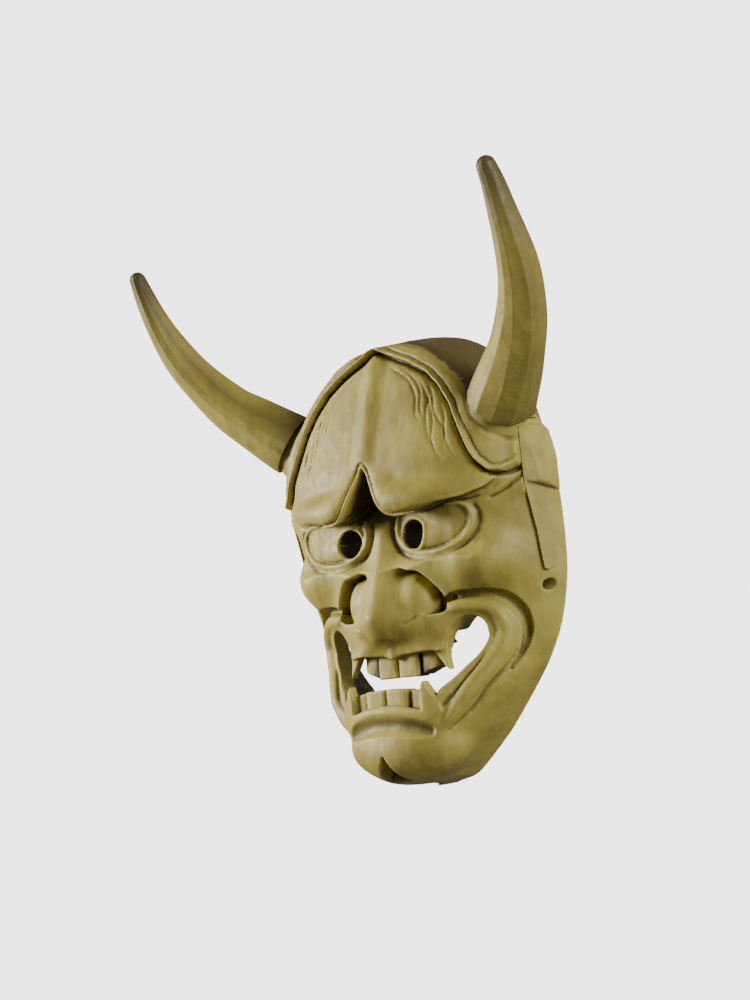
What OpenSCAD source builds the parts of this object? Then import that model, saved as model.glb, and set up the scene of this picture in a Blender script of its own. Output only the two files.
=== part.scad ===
// Horned theatre mask, carved from one block, with two horns that lift off
// for storage and two ears glued on. The front of the face looks along -Y,
// the rim lies in the plane y = 0, and the origin is in that plane at eye level.
// Millimetres.

/* [Block] */
// Half width of the block at its rim
half_w = 75; // [70:1:80]
// Height of the crown above the origin
crown_h = 97; // [90:1:105]
// Depth of the chin below the origin
chin_h = 104; // [98:1:110]
// How far the dome stands in front of the rim
dome_d = 50; // [46:1:54]
// Thickness of the wall at the rim
wall_t = 9; // [7:0.5:11]

/* [Relief] */
// How far the chin stands out of the dome
chin_out = 27; // [22:1:30]
// How deep the eyes lie below the dome
eye_in = 14; // [10:1:16]
// How deep the bridge of the nose lies below the dome
bridge_in = 12; // [8:1:15]
// How deep the hollows beside the nose lie below the dome
cheek_in = 8; // [4:1:10]

/* [Openings] */
// Radius of the hole through each pupil
pupil_r = 5; // [4:0.25:6]
// Distance of each pupil from the middle
pupil_x = 20; // [18:0.5:23]
// Height of the pupils above the origin
pupil_z = 4; // [2:0.5:6]
// Radius of the cord hole in each side wall
cord_hole_r = 2.5; // [2:0.25:3.5]
// Distance of the cord holes in front of the rim plane
cord_hole_y = 8; // [7:0.5:10]
// Height of the cord holes, just below the ears
cord_hole_z = -24; // [-26:0.5:-22]

/* [Horns] */
// Radius of the horn at its root
horn_root_r = 15.5; // [14:0.5:17]
// Radius of the horn near its tip
horn_tip_r = 4; // [3.5:0.5:5]
// Length of the tenon on each side of the joint
tenon_l = 17; // [15:0.5:18]
// Width of the tenon
tenon_w = 12; // [10:0.5:13]
// Thickness of the tenon
tenon_t = 8; // [7:0.5:9]
// Gap between the tenon and the walls of its mortise in the block
tenon_gap = 0.1; // [0.1:0.05:0.3]

/* [Ears] */
// Distance of the flat seat of each ear from the middle
ear_seat_x = 70; // [69.5:0.5:71]
// Thickness of the ear on its seat
ear_t = 7.5; // [6:0.5:9]

/* [Hidden] */

wood = [0.68, 0.62, 0.34];
tenon_wood = [0.45, 0.33, 0.18];

// Mesh of the block: rings from the middle of the face to the rim, and sectors
outer_rings = 26;
inner_rings = 14;
sectors = 56;

// Exponents of the dome's outline and of its profile, above and below the origin
outline_top = 2.5;
outline_low = 2.0;
profile_top = 2.6;
profile_low = 2.1;
// Ring position from which the relief fades out towards the rim
fade_from = 0.85;

// Seat of the left horn on its boss, and the direction in which the horn lifts off
seat = [63, -20.5, 57];
horn_az = -31;
horn_tilt = 55;
boss_foot = 10;
boss_depth = 20;
boss_inner_r = 12;
seat_gap = 0.1;
foot_gap = 1;
end_gap = 1;

// The horn's centre line is one cubic curve through these control points
horn_path = [seat, [97, -41, 85], [107.5, -51, 100], [107, -72.5, 143]];
// Normal of the plane in which the horn bends
horn_side = [-0.184, -0.887, -0.428];
horn_rings = 30;
horn_sides = 20;
tip_rings = 5;

// Mouth: right-hand half of the opening, from the middle to the corner and back
mouth = [[0, -63], [10.5, -63.2], [17, -63.5], [20, -60], [23, -63], [28, -64], [36, -58],
         [44, -51], [51, -45], [54, -40], [52, -36], [46, -35], [40, -37], [36, -41],
         [33, -47], [31, -56], [26, -50], [17, -53], [10, -57], [0, -57.5]];

// Ear: outline seen from the side, as [distance in front of the rim, height]
ear_outline = [[3, 20], [4, 0], [6, -16], [10, -18], [16, -16], [20, -11], [22, -2], [21, 10],
               [22, 24], [23, 34], [21, 43], [16, 48], [9, 48], [4, 43], [3, 34]];

module on_left_seat() { translate(seat) rotate([0, horn_tilt, horn_az]) children(); }
module right_side() { mirror([1, 0, 0]) children(); }
module both_sides() {
    children();
    right_side() children();
}

function signed_power(v, e) = sign(v) * pow(abs(v), e);
function hump(x, z, x0, z0, wx, wz) = exp(-pow((x - x0) / wx, 2) - pow((z - z0) / wz, 2));
function paired_hump(x, z, x0, z0, wx, wz) =
    hump(x, z, x0, z0, wx, wz) + hump(x, z, -x0, z0, wx, wz);

// How far the carved face stands out of the plain dome at a point of the front
function relief(x, z) =
    chin_out * hump(x, z, 0, -98, 34, 24)
    - eye_in * paired_hump(x, z, 25, 3, 20, 11)
    - bridge_in * hump(x, z, 0, 9, 14, 12)
    - cheek_in * paired_hump(x, z, 23, -28, 11, 15)
    - 6 * hump(x, z, 0, -52, 40, 9)
    + 3 * paired_hump(x, z, 20, 18, 12, 7)
    + 3 * hump(x, z, 0, 70, 40, 20);

// Point of the carved dome at ring position t (0 in the middle, 1 at the rim) and sector
// angle a, set in from the outer face by a wall
function blend_at(a, low, top) = low + (top - low) * (1 + sin(a)) / 2;
function shell_point(t, a, in) =
    let (e = 2 / blend_at(a, outline_low, outline_top),
         p = 2 / blend_at(a, profile_low, profile_top),
         s = pow(sin(90 * t), p),
         x = (half_w - in) * s * signed_power(cos(a), e),
         z = ((sin(a) > 0 ? crown_h : chin_h) - in) * s * signed_power(sin(a), e),
         fade = t < fade_from ? 1 : cos(90 * (t - fade_from) / (1 - fade_from)))
    [x, -(dome_d - in) * pow(cos(90 * t), p) - fade * relief(x, z), z];

// Closed mesh of the carved block: outer face, flat rim and hollow
module block() {
    outer = [for (i = [1:outer_rings], j = [0:sectors - 1])
             shell_point(i / outer_rings, j * 360 / sectors, 0)];
    inner = [for (i = [inner_rings:-1:1], j = [0:sectors - 1])
             shell_point(i / inner_rings, j * 360 / sectors, wall_t)];
    // The rim rings are laid exactly in the rim plane
    ring_count = outer_rings + inner_rings;
    points = concat(outer, inner, [shell_point(0, 0, 0), shell_point(0, 0, wall_t)]);
    flat = [for (k = [0:len(points) - 1])
            let (ring = floor(k / sectors),
                 rim = ring == outer_rings - 1 || ring == outer_rings)
            rim ? [points[k][0], 0, points[k][2]] : points[k]];
    front_pole = ring_count * sectors;
    back_pole = front_pole + 1;
    function at(i, j) = i * sectors + j % sectors;
    faces = concat(
        [for (j = [0:sectors - 1]) [front_pole, at(0, j + 1), at(0, j)]],
        [for (i = [0:ring_count - 2], j = [0:sectors - 1], half = [0, 1])
         half == 0 ? [at(i, j), at(i + 1, j + 1), at(i + 1, j)]
                   : [at(i, j), at(i, j + 1), at(i + 1, j + 1)]],
        [for (j = [0:sectors - 1]) [back_pole, at(ring_count - 1, j), at(ring_count - 1, j + 1)]]);
    polyhedron(points = flat, faces = faces);
}

module mouth_cut() {
    right = [for (p = mouth) [-p[0], p[1]]];
    left = [for (i = [len(mouth) - 2:-1:1]) mouth[i]];
    translate([0, 1, 0]) rotate([90, 0, 0]) linear_extrude(dome_d + 20) polygon(concat(right, left));
}

module pupil_cut() {
    translate([pupil_x, 1, pupil_z]) rotate([90, 0, 0])
        cylinder(h = dome_d + 20, r = pupil_r, $fn = 48);
}

module cord_hole_cut() {
    translate([half_w - 2 * wall_t, -cord_hole_y, cord_hole_z]) rotate([0, 90, 0])
        cylinder(h = 3 * wall_t, r = cord_hole_r, $fn = 32);
}

// Wood left standing for the horn: a round foot outside and a core behind the wall
module boss() {
    on_left_seat() {
        translate([0, 0, -boss_foot]) cylinder(h = boss_foot, r = horn_root_r, $fn = 64);
        translate([0, 0, -boss_depth]) cylinder(h = boss_depth, r = boss_inner_r, $fn = 64);
    }
}

// Space that the horn's foot sweeps as it lifts off
module lift_space() {
    on_left_seat() cylinder(h = 2 * horn_root_r, r = horn_root_r + foot_gap, $fn = 64);
}

module tenon(extra, bottom) {
    on_left_seat() translate([-tenon_t / 2 - extra, -tenon_w / 2 - extra, -tenon_l - bottom])
        cube([tenon_t + 2 * extra, tenon_w + 2 * extra, tenon_l + bottom + 1]);
}

module mask_shell() {
    color(wood) difference() {
        union() {
            block();
            both_sides() boss();
        }
        mouth_cut();
        both_sides() {
            pupil_cut();
            cord_hole_cut();
            lift_space();
            tenon(tenon_gap, end_gap);
            ear_slab(2 * wall_t);
        }
    }
}

function lerp(a, b, t) = a + (b - a) * t;
function curve(p, t) =
    let (a = lerp(p[0], p[1], t), b = lerp(p[1], p[2], t), c = lerp(p[2], p[3], t))
    lerp(lerp(a, b, t), lerp(b, c, t), t);
function slope(p, t) =
    let (d = lerp(lerp(p[1] - p[0], p[2] - p[1], t), lerp(p[2] - p[1], p[3] - p[2], t), t))
    d / norm(d);
function unit(v) = v / norm(v);

// One ring of the horn: an oval round its centre line, rounded off at the tip
function horn_ring(t, r, k) =
    let (along = slope(horn_path, t), side = unit(horn_side - (horn_side * along) * along),
         up = cross(side, along), base = curve(horn_path, t))
    [for (j = [0:horn_sides - 1]) let (a = j * 360 / horn_sides)
     base + k * along + r * (cos(a) * side + sin(a) * up)];

module horn() {
    // The tip is a quarter of a ball on the last ring
    rings = concat(
        [for (i = [0:horn_rings]) let (t = i / horn_rings)
         horn_ring(t, lerp(horn_root_r, horn_tip_r, pow(t, 0.95)), 0)],
        [for (i = [1:tip_rings - 1]) let (a = 90 * i / tip_rings)
         horn_ring(1, horn_tip_r * cos(a), horn_tip_r * sin(a))]);
    last = len(rings) - 1;
    tip = curve(horn_path, 1) + horn_tip_r * slope(horn_path, 1);
    points = concat([for (r = rings) each r], [curve(horn_path, 0), tip]);
    function at(i, j) = i * horn_sides + j % horn_sides;
    faces = concat(
        [for (j = [0:horn_sides - 1]) [len(points) - 2, at(0, j + 1), at(0, j)]],
        [for (i = [0:last - 1], j = [0:horn_sides - 1], half = [0, 1])
         half == 0 ? [at(i, j), at(i, j + 1), at(i + 1, j + 1)]
                   : [at(i, j), at(i + 1, j + 1), at(i + 1, j)]],
        [for (j = [0:horn_sides - 1]) [len(points) - 1, at(last, j), at(last, j + 1)]]);
    color(wood) difference() {
        polyhedron(points = points, faces = faces);
        // Flat shoulder that rests on the boss, and the mortise for the glued tenon
        on_left_seat() translate([-30, -30, -20 + seat_gap]) cube([60, 60, 20]);
        on_left_seat() translate([-tenon_t / 2, -tenon_w / 2, -1])
            cube([tenon_t, tenon_w, tenon_l + 1]);
    }
}

module horn_tenon() {
    color(tenon_wood) on_left_seat() translate([-tenon_t / 2, -tenon_w / 2, -tenon_l])
        cube([tenon_t, tenon_w, 2 * tenon_l]);
}

// The ear is a slab let into a flat-bottomed recess in the side wall
module ear_slab(thickness) {
    translate([ear_seat_x, 0, 0]) rotate([90, 0, 90]) linear_extrude(thickness)
        polygon([for (p = ear_outline) [-p[0], p[1]]]);
}

module ear() {
    color(wood) difference() {
        ear_slab(ear_t);
        lift_space();
    }
}

module horn_left() { horn(); }
module horn_right() { right_side() horn(); }
module horn_tenon_left() { horn_tenon(); }
module horn_tenon_right() { right_side() horn_tenon(); }
module ear_left() { ear(); }
module ear_right() { right_side() ear(); }

mask_shell();
horn_left();
horn_right();
horn_tenon_left();
horn_tenon_right();
ear_left();
ear_right();
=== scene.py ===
"""Horned theatre mask of bare carved wood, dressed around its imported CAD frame."""

import logging
import math
from collections.abc import Sequence
from dataclasses import dataclass, field
from enum import Enum

import bmesh
import bpy
import numpy as np
import openvdb
from mathutils import Matrix, Vector


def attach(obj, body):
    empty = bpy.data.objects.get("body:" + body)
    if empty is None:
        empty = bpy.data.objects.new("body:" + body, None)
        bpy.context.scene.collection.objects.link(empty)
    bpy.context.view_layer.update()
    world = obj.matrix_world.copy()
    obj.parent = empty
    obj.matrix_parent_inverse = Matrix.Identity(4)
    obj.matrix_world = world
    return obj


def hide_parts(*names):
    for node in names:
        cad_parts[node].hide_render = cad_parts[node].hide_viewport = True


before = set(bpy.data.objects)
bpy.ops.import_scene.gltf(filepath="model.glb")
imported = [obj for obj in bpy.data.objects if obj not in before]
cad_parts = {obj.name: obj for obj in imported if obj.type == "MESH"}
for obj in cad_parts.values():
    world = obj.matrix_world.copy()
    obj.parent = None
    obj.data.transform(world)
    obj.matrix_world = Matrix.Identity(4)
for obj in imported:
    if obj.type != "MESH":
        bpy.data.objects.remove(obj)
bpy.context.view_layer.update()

log = logging.getLogger("mask")
MM = 0.001
Point = tuple[float, float, float]
Spot = tuple[float, float]
Row = tuple[float, float, float, float]

# Grid steps of the carving in mm, and the most triangles that a carved piece may have
FACE_STEP = 0.6
EAR_STEP = 0.45
FACE_TRIANGLES = 190000
EAR_TRIANGLES = 40000

# Where each horn sits on the head in mm, and how its line of lift rises and turns forward
SEAT = (63.0, -20.5, 57.0)
LEAN = math.radians(35)
TURN = math.radians(31)
LIFT = (math.cos(LEAN) * math.cos(TURN), -math.cos(LEAN) * math.sin(TURN), math.sin(LEAN))
TENON_X = (math.sin(LEAN) * math.cos(TURN), -math.sin(LEAN) * math.sin(TURN), -math.cos(LEAN))
TENON_Y = (math.sin(TURN), math.cos(TURN), 0.0)
SEAT_R = 16.6

# Half the section and the length of a tenon on each side of its joint, in mm
TENON_HALF = (4.0, 6.0)
TENON_SUNK = 17.0

# The x of the flat in the side of the head that an ear is let into, in mm
EAR_FLAT = 70.0

# The y at which an outline drawn from the front holds, in mm
FRONT = -50.0


class Side(Enum):
    """A side of the mask, as the sign of its x."""

    LEFT = 1
    RIGHT = -1

    @property
    def word(self) -> str:
        """The side's name in lower case."""
        return self.name.lower()


# ---------------------------------------------------------------- helpers

def curve_through(points: Sequence[tuple[float, ...]], step: float = 1.0) -> np.ndarray:
    """Samples a smooth curve that passes through every given point.

    Args:
        points: the points, in order, in any number of dimensions.
        step: the distance between samples, in the points' own unit.

    Returns:
        The samples, one to a row.
    """
    p = np.asarray(points, float)
    if len(p) < 3:
        count = max(2, int(np.linalg.norm(p[-1][:3] - p[0][:3]) / step) + 1)
        return p[0] + (p[-1] - p[0]) * np.linspace(0, 1, count)[:, None]
    ends = np.vstack([2 * p[0] - p[1], p, 2 * p[-1] - p[-2]])
    rows = []
    for i in range(len(p) - 1):
        a, b, c, d = ends[i:i + 4]
        count = max(2, int(np.linalg.norm(c[:3] - b[:3]) / step) + 1)
        t = np.linspace(0, 1, count, endpoint=False)[:, None]
        rows.append(0.5 * (2 * b + (c - a) * t + (2 * a - 5 * b + 4 * c - d) * t ** 2
                           + (3 * b - a - 3 * c + d) * t ** 3))
    return np.vstack(rows + [p[-1:]])


def along_curve(knots: Sequence[Spot], at: np.ndarray) -> np.ndarray:
    """Reads a smooth curve through a few knots.

    Args:
        knots: pairs of a place and a value, in rising order of place.
        at: the places to read.

    Returns:
        The curve's value at each place.
    """
    fine = curve_through(knots)
    return np.interp(at, fine[:, 0], fine[:, 1])


def smooth_min(a: np.ndarray, b: np.ndarray, blend: float) -> np.ndarray:
    """Joins two fields of distances.

    Args:
        a: the first field, in mm.
        b: the second field, in mm.
        blend: how wide the rounded seam between them is, in mm.

    Returns:
        The lower of the two, with the seam rounded.
    """
    if blend <= 0:
        return np.minimum(a, b)
    h = np.maximum(blend - np.abs(a - b), 0) / blend
    return np.minimum(a, b) - h * h * blend / 4


def ease(v: np.ndarray, low: float, high: float) -> np.ndarray:
    """Makes a smooth step.

    Args:
        v: the values to step over.
        low: where the step starts; it may be above high, for a step down.
        high: where the step ends.

    Returns:
        0 before low, 1 past high and a smooth rise between them.
    """
    t = np.clip((v - low) / (high - low), 0, 1)
    return t * t * (3 - 2 * t)


# ---------------------------------------------------------------- solids to add or cut

@dataclass(frozen=True)
class Ball:
    """An ellipsoid.

    Attributes:
        centre: its centre in mm.
        radii: its three radii in mm.
        turn: its turn about the upright axis in degrees.
    """

    centre: Point
    radii: Point
    turn: float = 0.0

    def reach(self) -> tuple[np.ndarray, np.ndarray]:
        """Finds the box that it fills.

        Returns:
            The lowest and highest corners, in mm.
        """
        r = max(self.radii) if self.turn else np.asarray(self.radii, float)
        c = np.asarray(self.centre, float)
        return c - r, c + r

    def distance(self, x: np.ndarray, y: np.ndarray, z: np.ndarray) -> np.ndarray:
        """Measures points against its surface.

        Args:
            x: the points' x in mm.
            y: the points' y in mm.
            z: the points' z in mm.

        Returns:
            About how far each point is outside it, in mm.
        """
        px, py, pz = (v - c for v, c in zip((x, y, z), self.centre))
        c, s = math.cos(math.radians(self.turn)), math.sin(math.radians(self.turn))
        px, py = c * px + s * py, c * py - s * px
        rx, ry, rz = self.radii
        near = np.sqrt((px / rx) ** 2 + (py / ry) ** 2 + (pz / rz) ** 2) + 1e-6
        slope = np.sqrt((px / rx ** 2) ** 2 + (py / ry ** 2) ** 2 + (pz / rz ** 2) ** 2) + 1e-6
        return near * (near - 1) / slope


@dataclass(frozen=True)
class Rod:
    """A round bar along a smooth curve, with a radius that may change on the way.

    Attributes:
        path: rows of x, y, z and radius, in mm.
        step: the distance between samples of the curve, in mm.
    """

    path: tuple[Row, ...]
    step: float = 2.0

    def samples(self) -> np.ndarray:
        """Returns points and radii along the bar."""
        return curve_through(self.path, self.step)

    def reach(self) -> tuple[np.ndarray, np.ndarray]:
        """Finds the box that it fills.

        Returns:
            The lowest and highest corners, in mm.
        """
        s = self.samples()
        return (s[:, :3] - s[:, 3:]).min(0), (s[:, :3] + s[:, 3:]).max(0)

    def distance(self, x: np.ndarray, y: np.ndarray, z: np.ndarray) -> np.ndarray:
        """Measures points against its surface.

        Args:
            x: the points' x in mm.
            y: the points' y in mm.
            z: the points' z in mm.

        Returns:
            About how far each point is outside it, in mm.
        """
        s = self.samples()
        best = None
        for a, b in zip(s[:-1], s[1:]):
            along = b[:3] - a[:3]
            length = float(along @ along) + 1e-9
            t = np.clip(((x - a[0]) * along[0] + (y - a[1]) * along[1]
                         + (z - a[2]) * along[2]) / length, 0, 1)
            d = np.sqrt((x - a[0] - t * along[0]) ** 2 + (y - a[1] - t * along[1]) ** 2
                        + (z - a[2] - t * along[2]) ** 2) - (a[3] + t * (b[3] - a[3]))
            best = d if best is None else np.minimum(best, d)
        return best


def horn_axes(x: np.ndarray, y: np.ndarray, z: np.ndarray) -> tuple[np.ndarray, np.ndarray]:
    """Measures points against the line that a horn lifts along.

    Args:
        x: the points' x in mm.
        y: the points' y in mm.
        z: the points' z in mm.

    Returns:
        How far each point is beyond the horn's seat, and how far from the line, in mm.
    """
    gaps = [v - s for v, s in zip((x, y, z), SEAT)]
    beyond = sum(gap * d for gap, d in zip(gaps, LIFT))
    return beyond, np.sqrt(np.maximum(sum(gap ** 2 for gap in gaps) - beyond ** 2, 0))


# ---------------------------------------------------------------- the block being carved

class Block:
    """A block of wood on a grid, held as distances to its surface, negative inside.

    Only the mask's own left is carved, and the right is its mirror image.

    Attributes:
        step: the distance between grid points in mm.
        low: the grid's lowest corner in mm.
        x: the grid's places along x in mm, and y and z likewise.
        f: the distances in mm.
    """

    def __init__(self, low: Point, high: Point, step: float) -> None:
        """Lays out the grid.

        Args:
            low: the lowest corner in mm. Its x is 0 for a block with a mirror image.
            high: the highest corner in mm.
            step: the distance between grid points in mm.
        """
        self.step = step
        self.low = np.asarray(low, float)
        self.x, self.y, self.z = (np.arange(a, b + step, step, dtype=np.float32)
                                  for a, b in zip(low, high))
        self.f = np.full((len(self.x), len(self.y), len(self.z)), 99, np.float32)

    def window(self, low: np.ndarray, high: np.ndarray, margin: float) -> tuple:
        """Picks a box of the block.

        Args:
            low: the box's lowest corner in mm.
            high: the box's highest corner in mm.
            margin: how much wider the window is than the box, in mm.

        Returns:
            The slices of the grid, and its x, y and z there, shaped to spread over them.
        """
        cut, grids = [], []
        for i, axis in enumerate((self.x, self.y, self.z)):
            a = int(np.searchsorted(axis, low[i] - margin))
            b = int(np.searchsorted(axis, high[i] + margin))
            cut.append(slice(a, max(b, a + 1)))
            shape = [1, 1, 1]
            shape[i] = -1
            grids.append(axis[cut[-1]].reshape(shape))
        return tuple(cut), grids

    def add(self, solid: Ball | Rod, blend: float = 1.0) -> None:
        """Joins a solid to the block.

        Args:
            solid: the solid to add.
            blend: how wide the rounded seam is, in mm.
        """
        cut, grids = self.window(*solid.reach(), blend + 2 * self.step)
        self.f[cut] = smooth_min(self.f[cut], solid.distance(*grids), blend)

    def cut(self, solid: Ball | Rod, blend: float = 1.0) -> None:
        """Cuts a solid out of the block.

        Args:
            solid: the solid to take away.
            blend: how wide the rounded edge is, in mm.
        """
        cut, grids = self.window(*solid.reach(), blend + 2 * self.step)
        self.f[cut] = -smooth_min(-self.f[cut], solid.distance(*grids), blend)

    def cut_field(self, distance: np.ndarray, blend: float = 0.5) -> None:
        """Cuts away wherever a field is negative.

        Args:
            distance: the field, over the whole block.
            blend: how wide the rounded edge is, in mm.
        """
        self.f = -smooth_min(-self.f, distance, blend)

    def add_field(self, distance: np.ndarray, blend: float = 0.5) -> None:
        """Joins wood wherever a field is negative.

        Args:
            distance: the field, over the whole block.
            blend: how wide the rounded seam is, in mm.
        """
        self.f = smooth_min(self.f, distance, blend)

    def panel(self, spots: Sequence[Spot], front: np.ndarray, thick: float | np.ndarray,
              blend: float) -> None:
        """Leaves a flat piece of wood standing, seen from the front as an outline.

        Args:
            spots: the outline's points, x and z.
            front: the y of its front face over the map.
            thick: how thick it is in mm.
            blend: how wide the rounded seam is, in mm.
        """
        outline = self.area_map(spots, False)
        face = (front + 0 * outline)[:, None, :]
        back = (front + thick + 0 * outline)[:, None, :]
        y = self.y[None, :, None]
        body = np.maximum(outline[:, None, :], y - back)
        self.add_field(-smooth_min(-body, -(face - y) * 0.9, 0.5), blend)

    def pocket(self, outline: np.ndarray, floor: np.ndarray | float, blend: float,
               lean: float = 0.0) -> None:
        """Cuts a pocket into the front of the block.

        Args:
            outline: how far each place of the map is outside the pocket, in mm.
            floor: the y of the pocket's floor over the map.
            blend: how wide its rounded edges are, in mm.
            lean: how far its walls lean upward for each mm of depth.
        """
        for j, y in enumerate(self.y):
            shift = lean * (float(y) - FRONT) / self.step
            k = np.arange(len(self.z)) - shift
            low = np.clip(np.floor(k).astype(int), 0, len(self.z) - 2)
            part = np.clip(k - low, 0, 1)
            wall = outline[:, low] * (1 - part) + outline[:, low + 1] * part
            self.f[:, j] = -smooth_min(-self.f[:, j], np.maximum(wall, y - floor), blend)

    def raise_by(self, relief: np.ndarray) -> None:
        """Swells the surface outward by a map over the face, in mm."""
        self.f -= relief[:, None, :].astype(np.float32)

    def axes(self) -> tuple[np.ndarray, np.ndarray, np.ndarray]:
        """Returns the block's x, y and z, shaped to spread over the whole block."""
        return self.x[:, None, None], self.y[None, :, None], self.z[None, None, :]

    def spread(self) -> tuple[np.ndarray, np.ndarray]:
        """Returns the map grids of x and z over the face."""
        return self.x[:, None], self.z[None, :]

    def line_map(self, spots: Sequence[Spot]) -> tuple[np.ndarray, np.ndarray]:
        """Measures the face's map against a curve.

        Args:
            spots: points x, z that the curve passes through.

        Returns:
            The distance of each place to the curve, and how far along it is, from 0 to 1.
        """
        x, z = self.spread()
        s = curve_through(spots, 1.5)
        best = np.full((len(self.x), len(self.z)), 1e3, np.float32)
        along = np.zeros_like(best)
        for i, (a, b) in enumerate(zip(s[:-1], s[1:])):
            v = b - a
            t = np.clip(((x - a[0]) * v[0] + (z - a[1]) * v[1]) / float(v @ v + 1e-9), 0, 1)
            d = np.hypot(x - a[0] - t * v[0], z - a[1] - t * v[1])
            nearer = d < best
            best = np.where(nearer, d, best)
            along = np.where(nearer, (i + t) / (len(s) - 1), along)
        return best, along

    def area_map(self, spots: Sequence[Spot], smooth: bool = True,
                 side: bool = False) -> np.ndarray:
        """Measures a map against a closed outline.

        Args:
            spots: the outline's points, x and z, or y and z for a map seen from the side.
            smooth: whether the outline is a curve through its points.
            side: whether the map is the one seen from the side.

        Returns:
            How far each place is outside the outline, in mm.
        """
        x, z = (self.y[:, None], self.z[None, :]) if side else self.spread()
        closed = [*spots, spots[0]]
        s = curve_through(closed) if smooth else np.asarray(closed)
        best = np.full(np.broadcast_shapes(x.shape, z.shape), 1e3, np.float32)
        inside = np.zeros(best.shape, bool)
        for a, b in zip(s[:-1], s[1:]):
            v = b - a
            t = np.clip(((x - a[0]) * v[0] + (z - a[1]) * v[1]) / float(v @ v + 1e-9), 0, 1)
            best = np.minimum(best, np.hypot(x - a[0] - t * v[0], z - a[1] - t * v[1]))
            if abs(v[1]) > 1e-9:
                crosses = (a[1] > z) != (b[1] > z)
                inside ^= crosses & (x < a[0] + (z - a[1]) * v[0] / v[1])
        return np.where(inside, -best, best)

    def groove(self, spots: Sequence[Spot], width: float, depth: float,
               taper: float = 0.12) -> np.ndarray:
        """Works out one incised line that fades at its ends.

        Args:
            spots: points x, z that the line passes through.
            width: its half width in mm.
            depth: its depth in mm.
            taper: the share of its length over which each end fades.

        Returns:
            Its relief over the map, in mm.
        """
        d, t = self.line_map(spots)
        ends = np.minimum(1, np.minimum(t, 1 - t) / taper + 0.05)
        return -depth * np.exp(-(d / width) ** 2) * ends

    def front(self) -> np.ndarray:
        """Finds the block's front surface.

        Returns:
            Its y over the map in mm, and 0 where there is no wood.
        """
        inside = self.f < 0
        first = np.maximum(inside.argmax(1), 1)
        i, k = np.indices(first.shape)
        a, b = self.f[i, first - 1, k], self.f[i, first, k]
        t = np.clip(a / (a - b + 1e-6), 0, 1)
        y = self.y[first - 1] + t * self.step
        return np.where(inside.any(1), y, 0.0)

    def snap(self, spots: Sequence[Point], sink: float) -> Rod:
        """Lays a bar along the surface.

        Args:
            spots: rows of x, z and radius.
            sink: how far the bar's axis lies below the surface; negative is above it.

        Returns:
            The bar, its path following the surface as it now is.
        """
        s = curve_through(spots)
        i = np.clip(np.round((s[:, 0] - self.x[0]) / self.step).astype(int), 0, len(self.x) - 1)
        k = np.clip(np.round((s[:, 1] - self.z[0]) / self.step).astype(int), 0, len(self.z) - 1)
        depth = self.front()[i, k]
        smoothed = np.convolve(np.pad(depth, 2, mode="edge"), np.ones(5) / 5, mode="valid")
        rows = np.column_stack([s[:, 0], smoothed + sink, s[:, 1], s[:, 2]])
        as_sampled = 99.0
        return Rod(tuple(map(tuple, rows)), as_sampled)

    def mesh(self, name: str, mirrored: bool, most: int) -> bpy.types.Object:
        """Turns the carved block into a closed mesh object in metres.

        Args:
            name: the object's name.
            mirrored: whether the other half is added as a mirror image.
            most: the most triangles that the mesh may have.

        Returns:
            The new object, at the origin, with its place in its mesh.
        """
        band = 3 * self.step
        f = np.clip(self.f, -band, band)
        low = self.low.copy()
        if mirrored:
            f = np.concatenate([f[:0:-1], f])
            low[0] = -self.x[-1]
        grid = openvdb.FloatGrid(band)
        grid.copyFromArray(np.ascontiguousarray(f))
        points, triangles, quads = grid.convertToPolygons(0.0, 0.0)
        points = (points * self.step + low) * MM
        data = bpy.data.meshes.new(name)
        faces = [tuple(q) for q in quads.tolist()] + [tuple(t) for t in triangles.tolist()]
        data.from_pydata(points.tolist(), [], faces)
        piece = bpy.data.objects.new(name, data)
        bpy.context.scene.collection.objects.link(piece)
        bm = bmesh.new()
        bm.from_mesh(data)
        bmesh.ops.smooth_vert(bm, verts=bm.verts, factor=0.5, use_axis_x=True, use_axis_y=True,
                              use_axis_z=True)
        bmesh.ops.triangulate(bm, faces=bm.faces)
        bmesh.ops.recalc_face_normals(bm, faces=bm.faces)
        bm.to_mesh(data)
        bm.free()
        count = len(data.polygons)
        if count > most:
            thin = piece.modifiers.new("thin", "DECIMATE")
            thin.ratio = most / count
            apply_modifiers(piece)
        log.info("%s: %d triangles from %d", name, len(piece.data.polygons), count)
        piece.data.polygons.foreach_set("use_smooth", [True] * len(piece.data.polygons))
        return piece

    def bulge(self, reach: int) -> np.ndarray:
        """Compares each point with the mean of the block around it.

        Args:
            reach: how many grid steps the mean reaches to each side.

        Returns:
            A field that is above 0 in a hollow and below 0 on an edge.
        """
        f = np.clip(self.f, -4, 4)
        out = f
        for axis in range(3):
            pad = [(0, 0)] * 3
            pad[axis] = (reach + 1, reach)
            total = np.cumsum(np.pad(out, pad, mode="edge"), axis=axis, dtype=np.float32)
            ends = [slice(None)] * 3
            starts = [slice(None)] * 3
            ends[axis] = slice(2 * reach + 1, None)
            starts[axis] = slice(0, -2 * reach - 1)
            out = (total[tuple(ends)] - total[tuple(starts)]) / (2 * reach + 1)
        return f - out

    def mark(self, piece: bpy.types.Object, name: str, values: np.ndarray) -> None:
        """Writes a field onto a piece's points, for its finish to read.

        Args:
            piece: a piece that was cut from this block.
            name: the attribute's name.
            values: the field, over the whole block.
        """
        data = piece.data
        co = np.zeros(len(data.vertices) * 3, np.float32)
        data.vertices.foreach_get("co", co)
        co = co.reshape(-1, 3) / MM
        co[:, 0] = np.abs(co[:, 0])
        spot = (co - self.low) / self.step
        high = np.array(values.shape) - 1
        i, j, k = np.clip(np.round(spot).astype(int), 0, high).T
        data.attributes.new(name, "FLOAT", "POINT").data.foreach_set(
            "value", values[i, j, k].astype(np.float32))


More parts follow.
